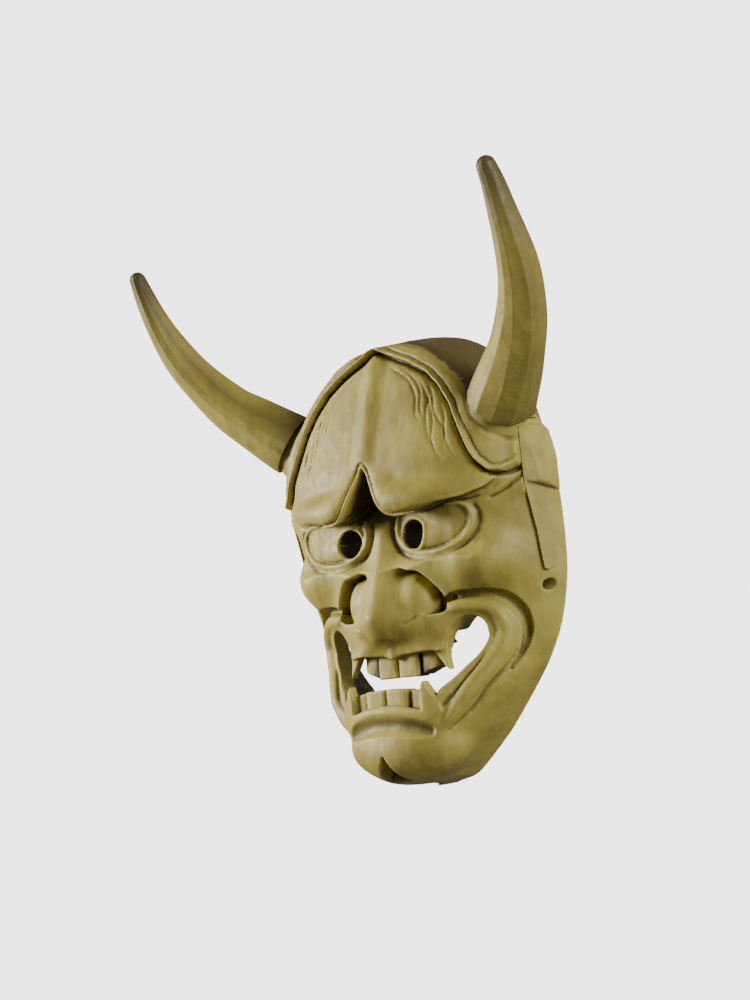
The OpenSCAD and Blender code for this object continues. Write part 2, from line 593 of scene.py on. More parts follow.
def apply_modifiers(piece: bpy.types.Object) -> None:
    """Applies a piece's modifiers to its mesh.

    Args:
        piece: the piece, whose mesh is replaced.
    """
    graph = bpy.context.evaluated_depsgraph_get()
    done = bpy.data.meshes.new_from_object(piece.evaluated_get(graph))
    piece.modifiers.clear()
    piece.data = done


# ---------------------------------------------------------------- the carved face

@dataclass
class Head:
    """The plain head form under the carving: its outline at the rim and its depth.

    Attributes:
        half_w: half its width at the rim.
        crown: its height above the origin at the rim.
        chin: its depth below the origin at the rim.
        depth: rows of height and how far the middle of the head stands out there.
        jaw: rows of height and half the width at the rim, below the eyes.
        bend: rows of height and how square the section is; 2 is an ellipse.
    """

    half_w: float = 75.0
    crown: float = 97.0
    chin: float = 108.0
    depth: tuple[Spot, ...] = ((-108, 48), (-95, 49), (-86, 48.4), (-76, 47.8), (-68, 46.2),
                               (-56, 43), (-40, 42), (-20, 43.5), (0, 45), (16, 46), (34, 45.5),
                               (44, 42.8), (60, 38), (77, 32), (88, 27.5), (97, 25))
    jaw: tuple[Spot, ...] = ((-108, 4), (-106.8, 8), (-104.8, 12.5), (-99, 20), (-92, 28),
                             (-85, 35.5), (-75, 44.5), (-65, 53), (-55, 60.5), (-40, 68.5),
                             (-20, 73.8), (0, 75), (4, 75))
    bend: tuple[Spot, ...] = ((-105, 2.6), (-80, 2.5), (-66, 2.35), (-54, 1.75), (-44, 1.5),
                              (-28, 1.5), (-15, 1.6), (0, 1.7), (10, 1.9), (20, 2.2), (35, 2.4),
                              (97, 2.35))

    def field(self, block: Block) -> np.ndarray:
        """Measures a block's points against this head form.

        Args:
            block: the block that the head is roughed out of.

        Returns:
            How far each point is outside the head, in mm.
        """
        x, y, z = block.axes()
        top = np.clip((z - 84) / (self.crown - 84), 0, 0.95)
        low = np.clip((-93 - z) / (self.chin - 93), 0, 0.95)
        d = along_curve(self.depth, z) * (1 - top ** 2.2) ** 0.45 * (1 - low ** 2.6) ** 0.45
        up = np.clip(z / self.crown, 0, 0.998)
        power = 2 + 0.5 * ease(z, 0, 60)
        w = self.half_w * (1 - up ** power) ** (1 / power)
        w = np.where(z < 0, along_curve(self.jaw, z), w)
        bend = np.interp(z, *zip(*self.bend))
        g = ((x / w) ** bend + (np.abs(y) / d) ** bend + 1e-9) ** (1 / bend) - 1
        slopes = np.gradient(g, block.step)
        steep = np.sqrt(sum(s * s for s in slopes)) + 1e-4
        caps = np.maximum(z - self.crown, -self.chin - z) + 0 * x * y
        plain = -smooth_min(-g / steep, -caps, 6)
        return np.clip(plain, -60, 60).astype(np.float32)


@dataclass(frozen=True)
class Tooth:
    """One tooth, left standing in the open mouth.

    Attributes:
        sides: the x of its two sides in mm.
        tops: the z of its upper corners in mm.
        lows: the z of its lower corners in mm.
        middle: the x at which its face stands out most, in mm.
        front: the y of its face there, in mm.
        upper: whether it is in the upper row, whose teeth slope back.
    """

    sides: Spot
    tops: Spot
    lows: Spot
    middle: float
    front: float
    upper: bool

    def stand(self, block: Block) -> None:
        """Leaves the tooth standing in a block.

        Args:
            block: the block that the mouth is cut in.
        """
        x, z = block.spread()
        inner, outer = self.sides
        half = (outer - inner) / 2
        outline = ((inner, self.tops[0]), (outer, self.tops[1]), (outer, self.lows[1]),
                   (inner, self.lows[0]))
        face = self.front + 0.10 * (x - 6) * (x > 12) + 0.9 * np.abs((x - self.middle) / half) ** 3
        block.panel(outline, face + 0.05 * (z - self.lows[0]) * self.upper, 8, 0.15)


@dataclass
class Face:
    """The carving of the mask's block: forms, relief, hollow, mouth, teeth and holes.

    Attributes:
        wall: how thick its wall is in mm.
        spare: how much thicker the wall is round the pupils and at the chin, in mm.
        core_r: the radius of the wood left behind each horn, in mm.
        pupil: the x and z of the pupil in mm.
        pupil_r: the pupil's radius in mm.
        cord: the y and z of the cord hole in mm.
        cord_r: the cord hole's radius in mm.
        brow: the lower edge of the brow, from the notch between the brows to the temple.
        hair_edge: the groove at the edge of the hair, from the parting to the temple.
        band_edge: the outer edge of the hair band, from the parting round the horn's root.
        mouth: the outline of the open mouth, from its middle to the corner and back.
        lip: the lip round the corner of the mouth, as rows of x, z and radius.
        notch: the three-cornered notch under the chin.
        notch_floor: the y of the notch's floor, in mm.
        locks: the loose locks of hair drawn on the forehead.
        teeth: the teeth, from the middle outward, upper and then lower.
        block: the wood, one half of the mask.
        socket: how far each place of the map is outside the eye sockets, in mm.
    """

    wall: float = 8.0
    spare: float = 9.0
    core_r: float = 11.5
    pupil: Spot = (19.0, 4.0)
    pupil_r: float = 6.2
    cord: Spot = (-8.0, -24.0)
    cord_r: float = 2.5
    brow: tuple[Spot, ...] = ((0, 35.5), (2.6, 30.5), (5.6, 25), (8.4, 19.5), (11.3, 15),
                              (14.5, 12.2), (18.5, 11), (24, 10.8), (30, 11.6), (39, 13.2),
                              (48.5, 13.4), (57, 14.6), (65, 18.6), (71, 24))
    hair_edge: tuple[Spot, ...] = ((0, 90), (5, 87.3), (10, 85), (20, 80.5), (30, 74.3), (37, 67),
                                   (43, 58), (47, 48.5), (51, 39.5), (55, 31), (60, 25.5),
                                   (65, 25), (70, 28), (75, 31))
    band_edge: tuple[Spot, ...] = ((0, 92.8), (6, 93), (14, 91.4), (26, 86.6), (37, 78), (46, 69),
                                   (51.5, 59), (55, 50), (60, 43), (66, 39), (74, 38))
    mouth: tuple[Spot, ...] = ((-8, -66), (0, -66), (12, -67), (19, -68.5), (24.5, -67),
                               (29.4, -62.8), (33.6, -59.2), (37.6, -54.7), (41, -51.3),
                               (43.6, -47.6), (45.2, -43), (44.8, -37.8), (42.2, -34.8),
                               (38, -34), (34, -35.8), (30.2, -39.6), (27.8, -43.5),
                               (26.4, -48), (20, -47.5), (10, -48), (0, -48.5), (-8, -48.5))
    lip: tuple[Point, ...] = ((25, -31, 2.4), (32, -30, 2.8), (39.5, -29.6, 3.1),
                              (46.2, -31, 3.4), (50.2, -35, 3.9), (51.4, -41, 4.3),
                              (49.4, -48.4, 4.5), (44.6, -57, 4.3), (37.8, -66.5, 4.0),
                              (32.6, -73.2, 3.4), (28.6, -78, 2.4), (25, -82, 1.2))
    notch: tuple[Spot, ...] = ((0, -91.2), (12.5, -113), (-12.5, -113))
    notch_floor: float = -38.0
    locks: tuple[tuple[Spot, ...], ...] = (
        ((7, 83), (14, 78), (21, 73), (26, 65), (27.5, 56), (32, 51)),
        ((16, 79), (23, 74), (28, 67), (29.5, 58), (33, 52.5)),
        ((23, 76), (29, 69), (33, 61), (36, 52), (36.5, 43), (40, 36), (46, 30)),
        ((29, 73), (34, 65), (36.5, 56), (41, 48), (42, 40), (45, 34)),
        ((33, 67), (32.5, 57), (34, 47), (37.5, 40)),
        ((38, 62), (41, 54), (42, 45), (46, 36), (51, 30)))
    teeth: tuple[Tooth, ...] = (
        Tooth((0.3, 11.7), (-46, -46), (-58.2, -58.4), 6, -34.6, True),
        Tooth((12.3, 21.8), (-45, -44), (-58.0, -54.6), 17, -33.4, True),
        Tooth((0.3, 11.9), (-62.6, -63.2), (-76, -76), 6, -44.6, False),
        Tooth((12.5, 20.4), (-63.6, -64.4), (-76, -76), 16.5, -43.2, False))
    block: Block = field(init=False)
    socket: np.ndarray = field(init=False)

    def __post_init__(self) -> None:
        """Sets up an uncut block."""
        self.block = Block((0, -58, -112), (82, 4, 101), FACE_STEP)

    def above(self, edge: Sequence[Spot]) -> np.ndarray:
        """Measures the map against all that lies above an edge.

        Args:
            edge: an edge from the middle of the forehead to the side of the head.

        Returns:
            How far each place is below the edge, in mm.
        """
        far, top = 90, 120
        return self.block.area_map([*edge, (far, edge[-1][1]), (far, top), (-20, top),
                                    (-20, edge[0][1])], False)

    def rough_out(self) -> None:
        """Shapes the large masses: head, brows, cheekbones, sockets and muzzle."""
        b = self.block
        b.f = Head().field(b)
        # Brow masses that hang over the eyes
        b.add(Rod(((5.5, -38, 32, 4.5), (9, -41, 26, 6.5), (14, -43, 20.5, 7.6),
                   (20, -43, 18.6, 7.9), (29, -41.2, 18.8, 7.4), (40, -36.8, 20, 6.4),
                   (52, -30, 21, 5.2), (62, -22, 24, 3.5))), 5)
        # Cheekbones, the jaw and the chin
        b.add(Ball((46, -21.5, -9.5), (18.5, 15.2, 14.5), turn=35), 6)
        b.add(Ball((0, -30, -89), (31, 19.3, 15)), 5)
        # The flat that each ear is let into
        x, y, z = b.axes()
        pad = np.maximum(Ear.outline(b), x - EAR_FLAT - 0.4)
        b.add_field(np.maximum(pad, np.maximum(18 - z, -19 - y)), 6)
        # Sockets under the brows, with the root of the nose between them
        x, z = b.spread()
        floor = np.interp(x, [0, 8, 20, 40, 54, 65, 75], [-33.5, -35, -36.2, -35.4, -31.5, -26, -17])
        floor = floor - 9 * ease(-z, 2, 17) + 11 * ease(z, 11, 24) * (1 - ease(x, 10, 22))
        mirror = [(-p[0], p[1]) for p in self.brow[6:0:-1]]
        self.socket = b.area_map([*self.brow, (90, 30), (90, -24), (-30, -24), (-30, 11),
                                  *mirror], False)
        b.pocket(self.socket, floor, 0.7, 0.30)
        # The hollow between the nose and the cheek, and the muzzle under it
        beside = b.area_map([(12, -10), (17, -11.6), (21.4, -12.6), (25, -15.6), (27.8, -19),
                             (30.2, -22.4), (31.5, -27), (30, -31), (20, -32), (-8, -32), (-8, -9)])
        b.pocket(beside, -25.5, 0.8)
        b.cut(Ball((0, -60, -48), (35, 23, 13)), 3)
        b.cut(Ball((26, -58, -45), (14, 22, 14)), 3)

    def model_nose(self) -> None:
        """Builds the ridged nose with its wings and nostrils."""
        b = self.block
        b.add(Ball((14.4, -31.2, -25), (9.6, 9.6, 13.2), turn=-10), 0.8)
        b.add(Rod(((0, -24.5, 16, 8.0), (0, -27, 6, 9.3), (0, -29.3, -6, 10.4),
                   (0, -33, -20, 11.8), (0, -36.2, -31, 12.2))), 5)
        b.add(Ball((0, -38.5, -32.5), (10.5, 10.2, 8.8)), 3)
        b.add(Ball((9, -35, -34), (10.5, 9, 6.5)), 3)
        b.add(Rod(((0, -34.5, 8, 1.2), (0, -38, -6, 1.4), (0, -43.4, -21, 1.6),
                   (0, -46.8, -31, 1.8))), 4)
        b.cut(Ball((0, -47, -49), (40, 10.2, 8.2)), 1.0)
        b.raise_by(b.groove([(11.5, -35.4), (15, -34), (19, -31.2)], 0.8, 1.0, 0.25))

    def carve_relief(self) -> None:
        """Carves the forehead, hair, brow folds and creases as relief over the face."""
        b = self.block
        x, z = b.spread()
        # Forehead: an upright ridge down the middle
        relief = 1.9 * (1 - ease(x, 0, 8.5)) * ease(z, 33, 42)
        # Hair: a band standing above the forehead, and a lower crown behind it
        hair, band = self.above(self.hair_edge), self.above(self.band_edge)
        relief = relief + 2.4 * (1 - ease(hair, -1.6, 0.0)) - 3.0 * (1 - ease(band, -1.4, 1.2))
        relief = relief - 2.2 * np.exp(-((hair - 0.2) / 1.0) ** 2)
        relief = relief - 0.9 * np.exp(-((hair + 3.6) / 0.5) ** 2) * ease(band, 0.5, 2.0)
        relief = relief + 0.5 * np.exp(-((hair + 1.9) / 0.7) ** 2)
        # Brow: an incised line inside its edge
        fold = np.exp(-((self.socket - 2.4) / 0.55) ** 2) * (1 - ease(x, 50, 60)) * ease(z, 5, 9)
        relief = relief - 1.1 * fold
        # Crease from the brow's end over the temple
        relief = relief + b.groove([(56, 14.5), (62, 17.5), (68, 22.5), (74, 29)], 0.8, 1.4)
        relief = relief + b.groove([(58, 18.5), (64, 21.5), (70, 26.5)], 0.5, 0.6)
        for lock in self.locks:
            relief = relief + b.groove(lock, 0.5, 0.6, 0.22)
        b.raise_by(relief * (1 - ease(z, 89, 96)) * (1 - ease(x, 69.5, 72.5)))

    def carve_eyes(self) -> None:
        """Sets the balls of the eyes in their lids."""
        b = self.block
        b.add(Ball((29, -24, 2), (24, 13.2, 11.5), turn=12), 0.6)
        # Lids: a rounded ring about the eye, with a line cut inside and outside it
        b.cut(b.snap([(6.4, 13, 1.6), (6.0, 7, 1.9), (7.6, 1, 1.7), (11.6, -3.4, 1.3),
                      (16.6, -5.8, 1.1), (25, -7.5, 1.0), (36.2, -6.8, 1.0), (45.2, -3.6, 1.1),
                      (51, 2.6, 1.3), (52.4, 9.4, 1.4), (51, 13, 1.0)], -0.3), 0.4)
        b.add(b.snap([(10, 13, 1.0), (9.2, 7, 1.2), (10.8, 1.8, 1.2), (14, -1.8, 1.3),
                      (19, -4, 1.3), (26, -5.2, 1.3), (35.4, -4.5, 1.3), (43.8, -1.4, 1.3),
                      (48.6, 3.8, 1.4), (49.4, 9, 1.4), (47.6, 12.8, 1.3), (43.5, 14.6, 1.1),
                      (38, 14.8, 0.9)], 0.1), 0.3)
        b.cut(b.snap([(12.4, 12, 0.5), (11.6, 7, 0.6), (13, 2.2, 0.6), (16, -0.6, 0.6),
                      (20, -2.2, 0.6), (27, -3.2, 0.6), (34.6, -2.4, 0.6), (41.8, 0.4, 0.6),
                      (45.8, 4.6, 0.6), (46.4, 8.6, 0.5), (44.6, 11.6, 0.4)], -0.1), 0.2)
        px, pz = self.pupil
        ring = self.pupil_r + 1.1
        rim = [(px + ring * math.cos(a), pz + ring * math.sin(a), 0.9)
               for a in np.linspace(0, 2 * math.pi, 21)]
        b.add(b.snap(rim, 0.35), 0.5)

    def carve_cheeks(self) -> None:
        """Cuts the deep groove above the lip, from the nose round the corner of the mouth."""
        b = self.block
        b.cut(b.snap([(30.5, -26.0, 2.2), (34.5, -25.6, 2.5), (40, -24.9, 2.6),
                      (48, -25.2, 2.9), (54, -28.2, 3.2), (58, -34, 3.1), (58.6, -41, 2.6),
                      (57, -48, 1.9), (54.6, -53.6, 1.2), (51.4, -58.6, 0.8)], 1.0), 0.5)

    def carve_lips(self) -> None:
        """Builds the lip round each corner of the mouth, the jaw lines and the lower lip."""
        b = self.block
        b.add(b.snap(self.lip, 1.6), 1.2)
        b.cut(b.snap([(54.6, -51, 0.9), (51.6, -56.4, 1.1), (46.8, -63.4, 1.3),
                      (39.6, -72.6, 1.3), (33.6, -78.4, 1.1), (29, -82.4, 0.6)], -0.2), 0.4)
        b.cut(b.snap([(44.4, -50.6, 0.5), (41.6, -54.8, 0.9), (39, -58.6, 1.1),
                      (34.2, -65.6, 1.2), (30.4, -69.8, 1.2), (27, -73.6, 0.8)], -0.1), 0.4)
        # The step behind the lower teeth, the lower lip, and the hollow above the chin
        x = b.spread()[0]
        step = b.area_map([(-30, -58), (24, -58), (27, -66), (23.5, -73.5), (14, -72), (6, -70.4),
                           (0, -70), (-6, -70.4), (-14, -72), (-30, -72)], False)
        b.pocket(step, -42.8 + 0.010 * x ** 2, 0.6)
        b.add(Rod(((0, -45.8, -72.4, 2.3), (8, -45.2, -72.8, 2.3), (15, -43.4, -74, 2.3),
                   (20.5, -41, -75.6, 2.0), (24, -38.8, -77, 1.4))), 1.0)
        b.cut(Rod(((0, -50.6, -78.2, 4.6), (9, -50.0, -78.6, 4.6), (16.5, -47.6, -80, 4.2),
                   (23, -43.4, -82, 2.6))), 0.8)

    def carve(self) -> bpy.types.Object:
        """Carves the whole block.

        Returns:
            The finished mask shell.
        """
        b = self.block
        self.rough_out()
        self.model_nose()
        plain = b.f.copy()
        self.carve_relief()
        self.carve_eyes()
        self.carve_cheeks()
        self.carve_lips()
        self.notch_chin()
        self.seat_horns()
        self.hollow_out(plain)
        self.open_mouth()
        self.set_teeth()
        self.bore_holes()
        b.cut_field(-b.axes()[1], 0.6)
        piece = b.mesh("carved_face", True, FACE_TRIANGLES)
        crown = (1 - ease(self.above(self.band_edge), -1.0, 0.4)) * ease(b.z[None, :], 42, 60)
        # The depth mark: the dark back, and the walls of the pupils and of the mouth's corners,
        # darkened there as painted shade
        b.mark(piece, "depth", np.maximum(-plain / 10, self.tunnels(plain)))
        # The hollow mark: dust and painted shade in creases, with more painted shade between the
        # brows, under the lower lip and in the chin's notch; below 0 on edges, which are lightened
        # as wear and a painted highlight
        b.mark(piece, "hollow", b.bulge(4) / 0.9 + self.shade())
        b.mark(piece, "crown", crown[:, None, :])
        return piece

    def tunnels(self, plain: np.ndarray) -> np.ndarray:
        """Finds the walls of the pupils and of the corners of the mouth, darkened as painted shade.

        Args:
            plain: the distances to the face before its detail was carved.

        Returns:
            1 in the pupils' walls, a little less in the mouth's and 0 elsewhere.
        """
        x, z = self.block.spread()
        pupil = np.hypot(x - self.pupil[0], z - self.pupil[1]) - self.pupil_r
        corner = self.block.area_map(self.mouth)
        eye = ease(-pupil[:, None, :], -0.9, -0.2) * ease(-plain, -1.2, -0.2)
        side = ease(-corner, -1.2, 0) * (1 - ease(-corner, 0.8, 2.0)) * ease(x, 36, 39)
        return np.maximum(eye, side[:, None, :] * ease(-plain, -1.0, 1.5) * 0.72)

    def shade(self) -> np.ndarray:
        """Works out the painted shade that darkens the wood between the brows, under the lower lip
        and in the notch under the chin.

        Returns:
            How much is added to the hollow mark, over the whole block.
        """
        x, z = self.block.spread()
        deep = ease(-self.socket, -6, -4.5) * ease(z, 9, 13) * (1 - ease(x, 13, 17))
        chin = ease(-self.block.area_map(self.notch, False), 0.1, 1.2)
        lip = 0.42 * np.exp(-((z + 77.2 + 0.008 * x ** 2) / 3.2) ** 2) * (1 - ease(x, 17, 25))
        front = ease(-self.block.y, 36, 40)[None, :, None]
        behind = ease(self.block.y, -44, -41.5)[None, :, None]
        return 1.3 * deep[:, None, :] * behind + lip[:, None, :] + chin[:, None, :] * front

    def hollow_out(self, plain: np.ndarray) -> None:
        """Hollows the back behind an even wall, leaving a core of wood behind each horn.

        Args:
            plain: the distances to the face before its detail was carved.
        """
        b = self.block
        x, z = b.spread()
        eye = np.exp(-(((x - self.pupil[0]) / 13) ** 2 + ((z - self.pupil[1]) / 12) ** 2))
        wall = self.wall + self.spare * (eye + ease(-z, 84, 95))
        hollow = plain + wall[:, None, :].astype(np.float32)
        foot = tuple(np.array(SEAT) - 19 * np.array(LIFT))
        core = Rod((foot + (self.core_r,), SEAT + (self.core_r,)))
        cut, grids = b.window(*core.reach(), 3)
        hollow[cut] = np.maximum(hollow[cut], -core.distance(*grids))
        b.cut_field(hollow, 1.5)

    def notch_chin(self) -> None:
        """Cuts the three-cornered notch under the chin, without breaking through the wall."""
        self.block.pocket(self.block.area_map(self.notch, False), self.notch_floor, 0.4)

    def seat_horns(self) -> None:
        """Leaves a boss for each horn and cuts its seat."""
        b = self.block
        seat, lift = np.array(SEAT), np.array(LIFT)
        b.add(Rod((tuple(seat - 16 * lift) + (16.5,), tuple(seat - 8 * lift) + (15.6,))), 5)
        # Everything beyond the seat is the horn's own space
        cut, grids = b.window(seat - 24, seat + 40, 2)
        beyond, off = horn_axes(*grids)
        b.f[cut] = -smooth_min(-b.f[cut], np.maximum(-beyond, off - SEAT_R), 0.3)

    def open_mouth(self) -> None:
        """Cuts the mouth through the wall."""
        self.block.cut_field(self.block.area_map(self.mouth)[:, None, :], 1.0)

    def set_teeth(self) -> None:
        """Leaves the upper lip's block, the teeth and the fangs standing in the mouth."""
        b = self.block
        x, z = b.spread()
        # The upper lip, cut in two flat planes that meet at the middle
        muzzle = [(-8, -36), (20, -36), (24, -45), (17.5, -46.4), (11, -47.2), (5, -48.4),
                  (0, -49.8), (-8, -48.4)]
        b.panel(muzzle, -38.2 + 0.27 * np.abs(x) - 0.10 * (z + 44), 13, 0.25)
        for tooth in self.teeth:
            tooth.stand(b)
        # The fangs, cut in flat planes
        fang = [(19, -34), (27, -33), (31, -38), (28.6, -44), (28.2, -50), (29.4, -57.4),
                (25.4, -52.6), (21.6, -47), (17.5, -45.6)]
        root = ease(z, -48, -42) * (1 - ease(x, 22, 27))
        b.panel(fang, -38.6 + 0.20 * x + 0.05 * (z + 45), 4 + 5 * root, 0.25)
        fang = [(21.4, -59.8), (16.2, -74.5), (22, -78), (28.8, -74), (27.4, -68.6), (24.4, -65)]
        b.panel(fang, -44.6 + np.maximum(0.9 * (20.6 - x), 0.4 * (x - 20.6)), 5, 0.2)

    def bore_holes(self) -> None:
        """Bores the pupils and the cord holes, and cuts the ears' recesses and the mortises."""
        b = self.block
        px, pz = self.pupil
        b.cut(Rod(((px, -60, pz, self.pupil_r), (px, 10, pz, self.pupil_r))), 0.5)
        y, z = self.cord
        b.cut(Rod(((50, y, z, self.cord_r), (90, y, z, self.cord_r))), 0.4)
        b.cut_field(Ear.socket(b) - 0.2, 0.2)
        # The mortise of each horn's tenon, with a little room on every side
        room = 0.35
        across, over, out = (sum((v - s) * d for v, s, d in zip(b.axes(), SEAT, axis))
                             for axis in (TENON_X, TENON_Y, LIFT))
        walls = np.maximum(np.abs(across) - TENON_HALF[0] - room,
                           np.abs(over) - TENON_HALF[1] - room)
        b.cut_field(np.maximum(walls, np.maximum(-TENON_SUNK - 1.2 - out, out - 2)), 0.2)


# ---------------------------------------------------------------- ears and horns

@dataclass
class Ear:
    """One ear, a flap of wood let into a flat recess in the side of the head.

    Attributes:
        side: the side of the mask that it is on.
        flap: how far the flap stands out from the head, in mm.
        lobe: how far the lobe stands out from the head, in mm.
        edge: the x that it doesn't pass, in mm.
        room: how far it stays clear of the horn, in mm.
    """

    side: Side
    flap: float = 3.8
    lobe: float = 1.6
    edge: float = 76.6
    room: float = 0.2

    @staticmethod
    def outline(block: Block) -> np.ndarray:
        """Measures a block against the ear's outline, seen from the side.

        Args:
            block: the block to measure.

        Returns:
            How far each point is outside the outline, in mm.
        """
        spots = [(-3, 20), (-4, 0), (-6, -16), (-10, -18), (-16, -16), (-20, -11), (-22, -2),
                 (-21, 10), (-22, 24), (-23, 34), (-21, 43), (-16, 48), (-9, 48), (-4, 43),
                 (-3, 34)]
        return block.area_map(spots, False, True)[None]

    @staticmethod
    def socket(block: Block) -> np.ndarray:
        """Returns how far each of a block's points is outside the ear's recess, in mm."""
        return np.maximum(Ear.outline(block), EAR_FLAT - block.axes()[0])

    def build(self) -> bpy.types.Object:
        """Carves the ear.

        Returns:
            The finished ear.
        """
        b = Block((67, -27, -21), (80, 2, 51), EAR_STEP)
        x, y, z = b.axes()
        outline, height = Ear.outline(b), z + 0.25 * (y + 10)
        rise = self.lobe + (self.flap - self.lobe) * ease(height, 17, 20)
        rise = rise + 0.9 * np.exp(-((outline + 1.6) / 1.2) ** 2) * ease(z, 16, 24)
        b.f = np.maximum(outline + 0 * x, Head().field(b) - rise)
        b.f = np.maximum(b.f, np.maximum(EAR_FLAT - x, x - self.edge))
        b.f = np.maximum(b.f, 0.75 * x - 0.66 * y - 66)
        b.cut(Ball((77.6, -11.5, 34), (3.2, 4.2, 8.5)), 1.2)
        b.cut(Rod(((73.4, -19, 2, 0.6), (75.0, -15.5, -7, 0.9), (75.2, -8.5, -14, 0.7))), 0.4)
        beyond, off = horn_axes(x, y, z)
        b.cut_field(np.maximum(self.room - beyond, off - SEAT_R - self.room), 0.3)
        piece = b.mesh("ear_flap_" + self.side.word, False, EAR_TRIANGLES)
        # Painted shade along the step between the flap and the lobe, and a darker front face of the
        # flap, both added to the hollow mark
        step_shade = 0.9 * np.exp(-((height - 18.2) / 0.8) ** 2)
        front = 0.45 * ease(-y, 15, 18) * ease(z, 19, 21)
        b.mark(piece, "hollow", b.bulge(5) / 1.2 + step_shade + front)
        if self.side is Side.RIGHT:
            flip(piece)
        return piece


@dataclass
class Horn:
    """One horn, cut from the solid in long knife facets and rounded at its tip.

    Attributes:
        side: the side of the mask that it is on.
        facets: how many facets run along it.
        facing: the direction that its first facet faces.
        rows: its centre line, x, y and z, and its radius there, in mm.
        facet_shade: how dark each facet is, from 0 to 1, as painted shade down one side and a dark
            stripe.
        tip_turns: the angles of the rings that round its tip, in degrees.
        edge: how wide the worn edge between two facets is, in mm.
    """

    side: Side
    facets: int = 13
    facing: Point = (-0.184, -0.887, -0.428)
    rows: tuple[Row, ...] = (
        (63, -20.5, 57, 15.6), (66.4, -22.5, 59.8, 15.3), (76.5, -28.7, 68.2, 13.9),
        (86.1, -35.4, 77.1, 12.2), (93.7, -41.4, 86.6, 10.9), (99.3, -47.4, 96.2, 9.8),
        (103, -53.3, 105.7, 8.7), (105.2, -59.2, 115.7, 7.4), (106.3, -64.7, 126, 6.1),
        (106.9, -69.1, 135.5, 5.0), (106.8, -72.4, 142.3, 4.2))
    facet_shade: tuple[float, ...] = (0.1, 0, 0.9, 0.15, 0, 0.1, 0.3, 0.6, 0.7, 0.8, 0.9, 0.7, 0.4)
    tip_turns: tuple[float, ...] = (20, 40, 58, 74, 86)
    edge: float = 0.4

    def ring(self, row: np.ndarray, along: np.ndarray, share: float) -> list[Vector]:
        """Works out the corners of one ring of the horn.

        Args:
            row: the ring's centre and radius in mm.
            along: the direction of the centre line there.
            share: how far along the horn the ring is, from 0 to 1.

        Returns:
            The corners, in metres.
        """
        face = np.array(self.facing)
        face = face - face.dot(along) * along
        face = face / np.linalg.norm(face)
        up = np.cross(face, along)
        corners = []
        for j in range(self.facets):
            # Hand cut: the facets' edges wander, and each is a little off the round
            turn = 2 * math.pi * j / self.facets
            turn += 0.10 * math.sin(2.7 * j + 1) + 0.05 * math.sin(7 * share + 1.9 * j)
            wave = 1 + 0.03 * math.cos(2 * turn - 0.5) + 0.011 * math.sin(23 * share + 2.3 * j)
            wave += 0.035 * math.exp(-(((turn - 1.2) % (2 * math.pi)) / 0.35) ** 2)
            spot = row[:3] + row[3] * wave * (math.cos(turn) * face + math.sin(turn) * up)
            if share == 0:
                spot = spot + (0.1 - (spot - SEAT).dot(LIFT)) * np.array(LIFT)
            corners.append(Vector((spot * MM).tolist()))
        return corners

    def build(self) -> bpy.types.Object:
        """Cuts the horn, with the mortise for its tenon.

        Returns:
            The finished horn.
        """
        line = curve_through(self.rows, 2.2)
        slope = np.gradient(line[:, :3], axis=0)
        slope /= np.linalg.norm(slope, axis=1)[:, None]
        slope[0] = LIFT
        rings = [(line[i], slope[i], i / len(line)) for i in range(len(line))]
        tip, along = line[-1], slope[-1]
        for turn in np.radians(self.tip_turns):
            rings.append((np.append(tip[:3] + tip[3] * math.sin(turn) * along,
                                    tip[3] * math.cos(turn)), along, 1.0))
        bm = bmesh.new()
        mark = bm.verts.layers.float.new("along")
        stripe = bm.verts.layers.float.new("stripe")
        made = bmesh.ops.create_circle(bm, cap_ends=True, segments=self.facets, radius=0.01)
        top = made["verts"][0].link_faces[0]
        for row, way, share in rings:
            if row is not rings[0][0]:
                made = bmesh.ops.extrude_face_region(bm, geom=[top])
                top = next(g for g in made["geom"] if isinstance(g, bmesh.types.BMFace))
            for j, (corner, spot) in enumerate(zip(top.verts, self.ring(row, way, share))):
                corner.co = spot
                corner[mark] = share
                # Each facet's darkness: painted shade down one side of the horn, and a dark stripe
                # on one facet
                corner[stripe] = self.facet_shade[j]
        bmesh.ops.recalc_face_normals(bm, faces=bm.faces)
        long_edges = [e for e in bm.edges if abs(e.verts[0][mark] - e.verts[1][mark]) > 1e-4
                      and e.calc_face_angle(0) > 0.12]
        bmesh.ops.bevel(bm, geom=long_edges, offset=self.edge * MM, offset_type="OFFSET",
                        segments=2, profile=0.5, affect="EDGES", material=-1,
                        clamp_overlap=True)
        data = bpy.data.meshes.new("horn")
        bm.to_mesh(data)
        bm.free()
        piece = bpy.data.objects.new("carved_horn_" + self.side.word, data)
        bpy.context.scene.collection.objects.link(piece)
        self.mortise(piece)
        if self.side is Side.RIGHT:
            flip(piece)
        return piece

    def mortise(self, piece: bpy.types.Object) -> None:
        """Cuts the hole in the horn's foot that its tenon is glued into.

        Args:
            piece: the horn, on the mask's left.
        """
        bm = bmesh.new()
        bmesh.ops.create_cube(bm, size=1)
        data = bpy.data.meshes.new("cutter")
        bm.to_mesh(data)
        bm.free()
        turn = Matrix((TENON_X, TENON_Y, LIFT)).transposed().to_4x4()
        size = [2 * half * MM for half in (*TENON_HALF, TENON_SUNK + 0.05)]
        data.transform(Matrix.Translation(Vector(SEAT) * MM) @ turn @ Matrix.Diagonal((*size, 1)))
        cutter = bpy.data.objects.new("cutter", data)
        bpy.context.scene.collection.objects.link(cutter)
        hole = piece.modifiers.new("mortise", "BOOLEAN")
        hole.operation, hole.solver, hole.object = "DIFFERENCE", "EXACT", cutter
        apply_modifiers(piece)
        bpy.data.objects.remove(cutter)


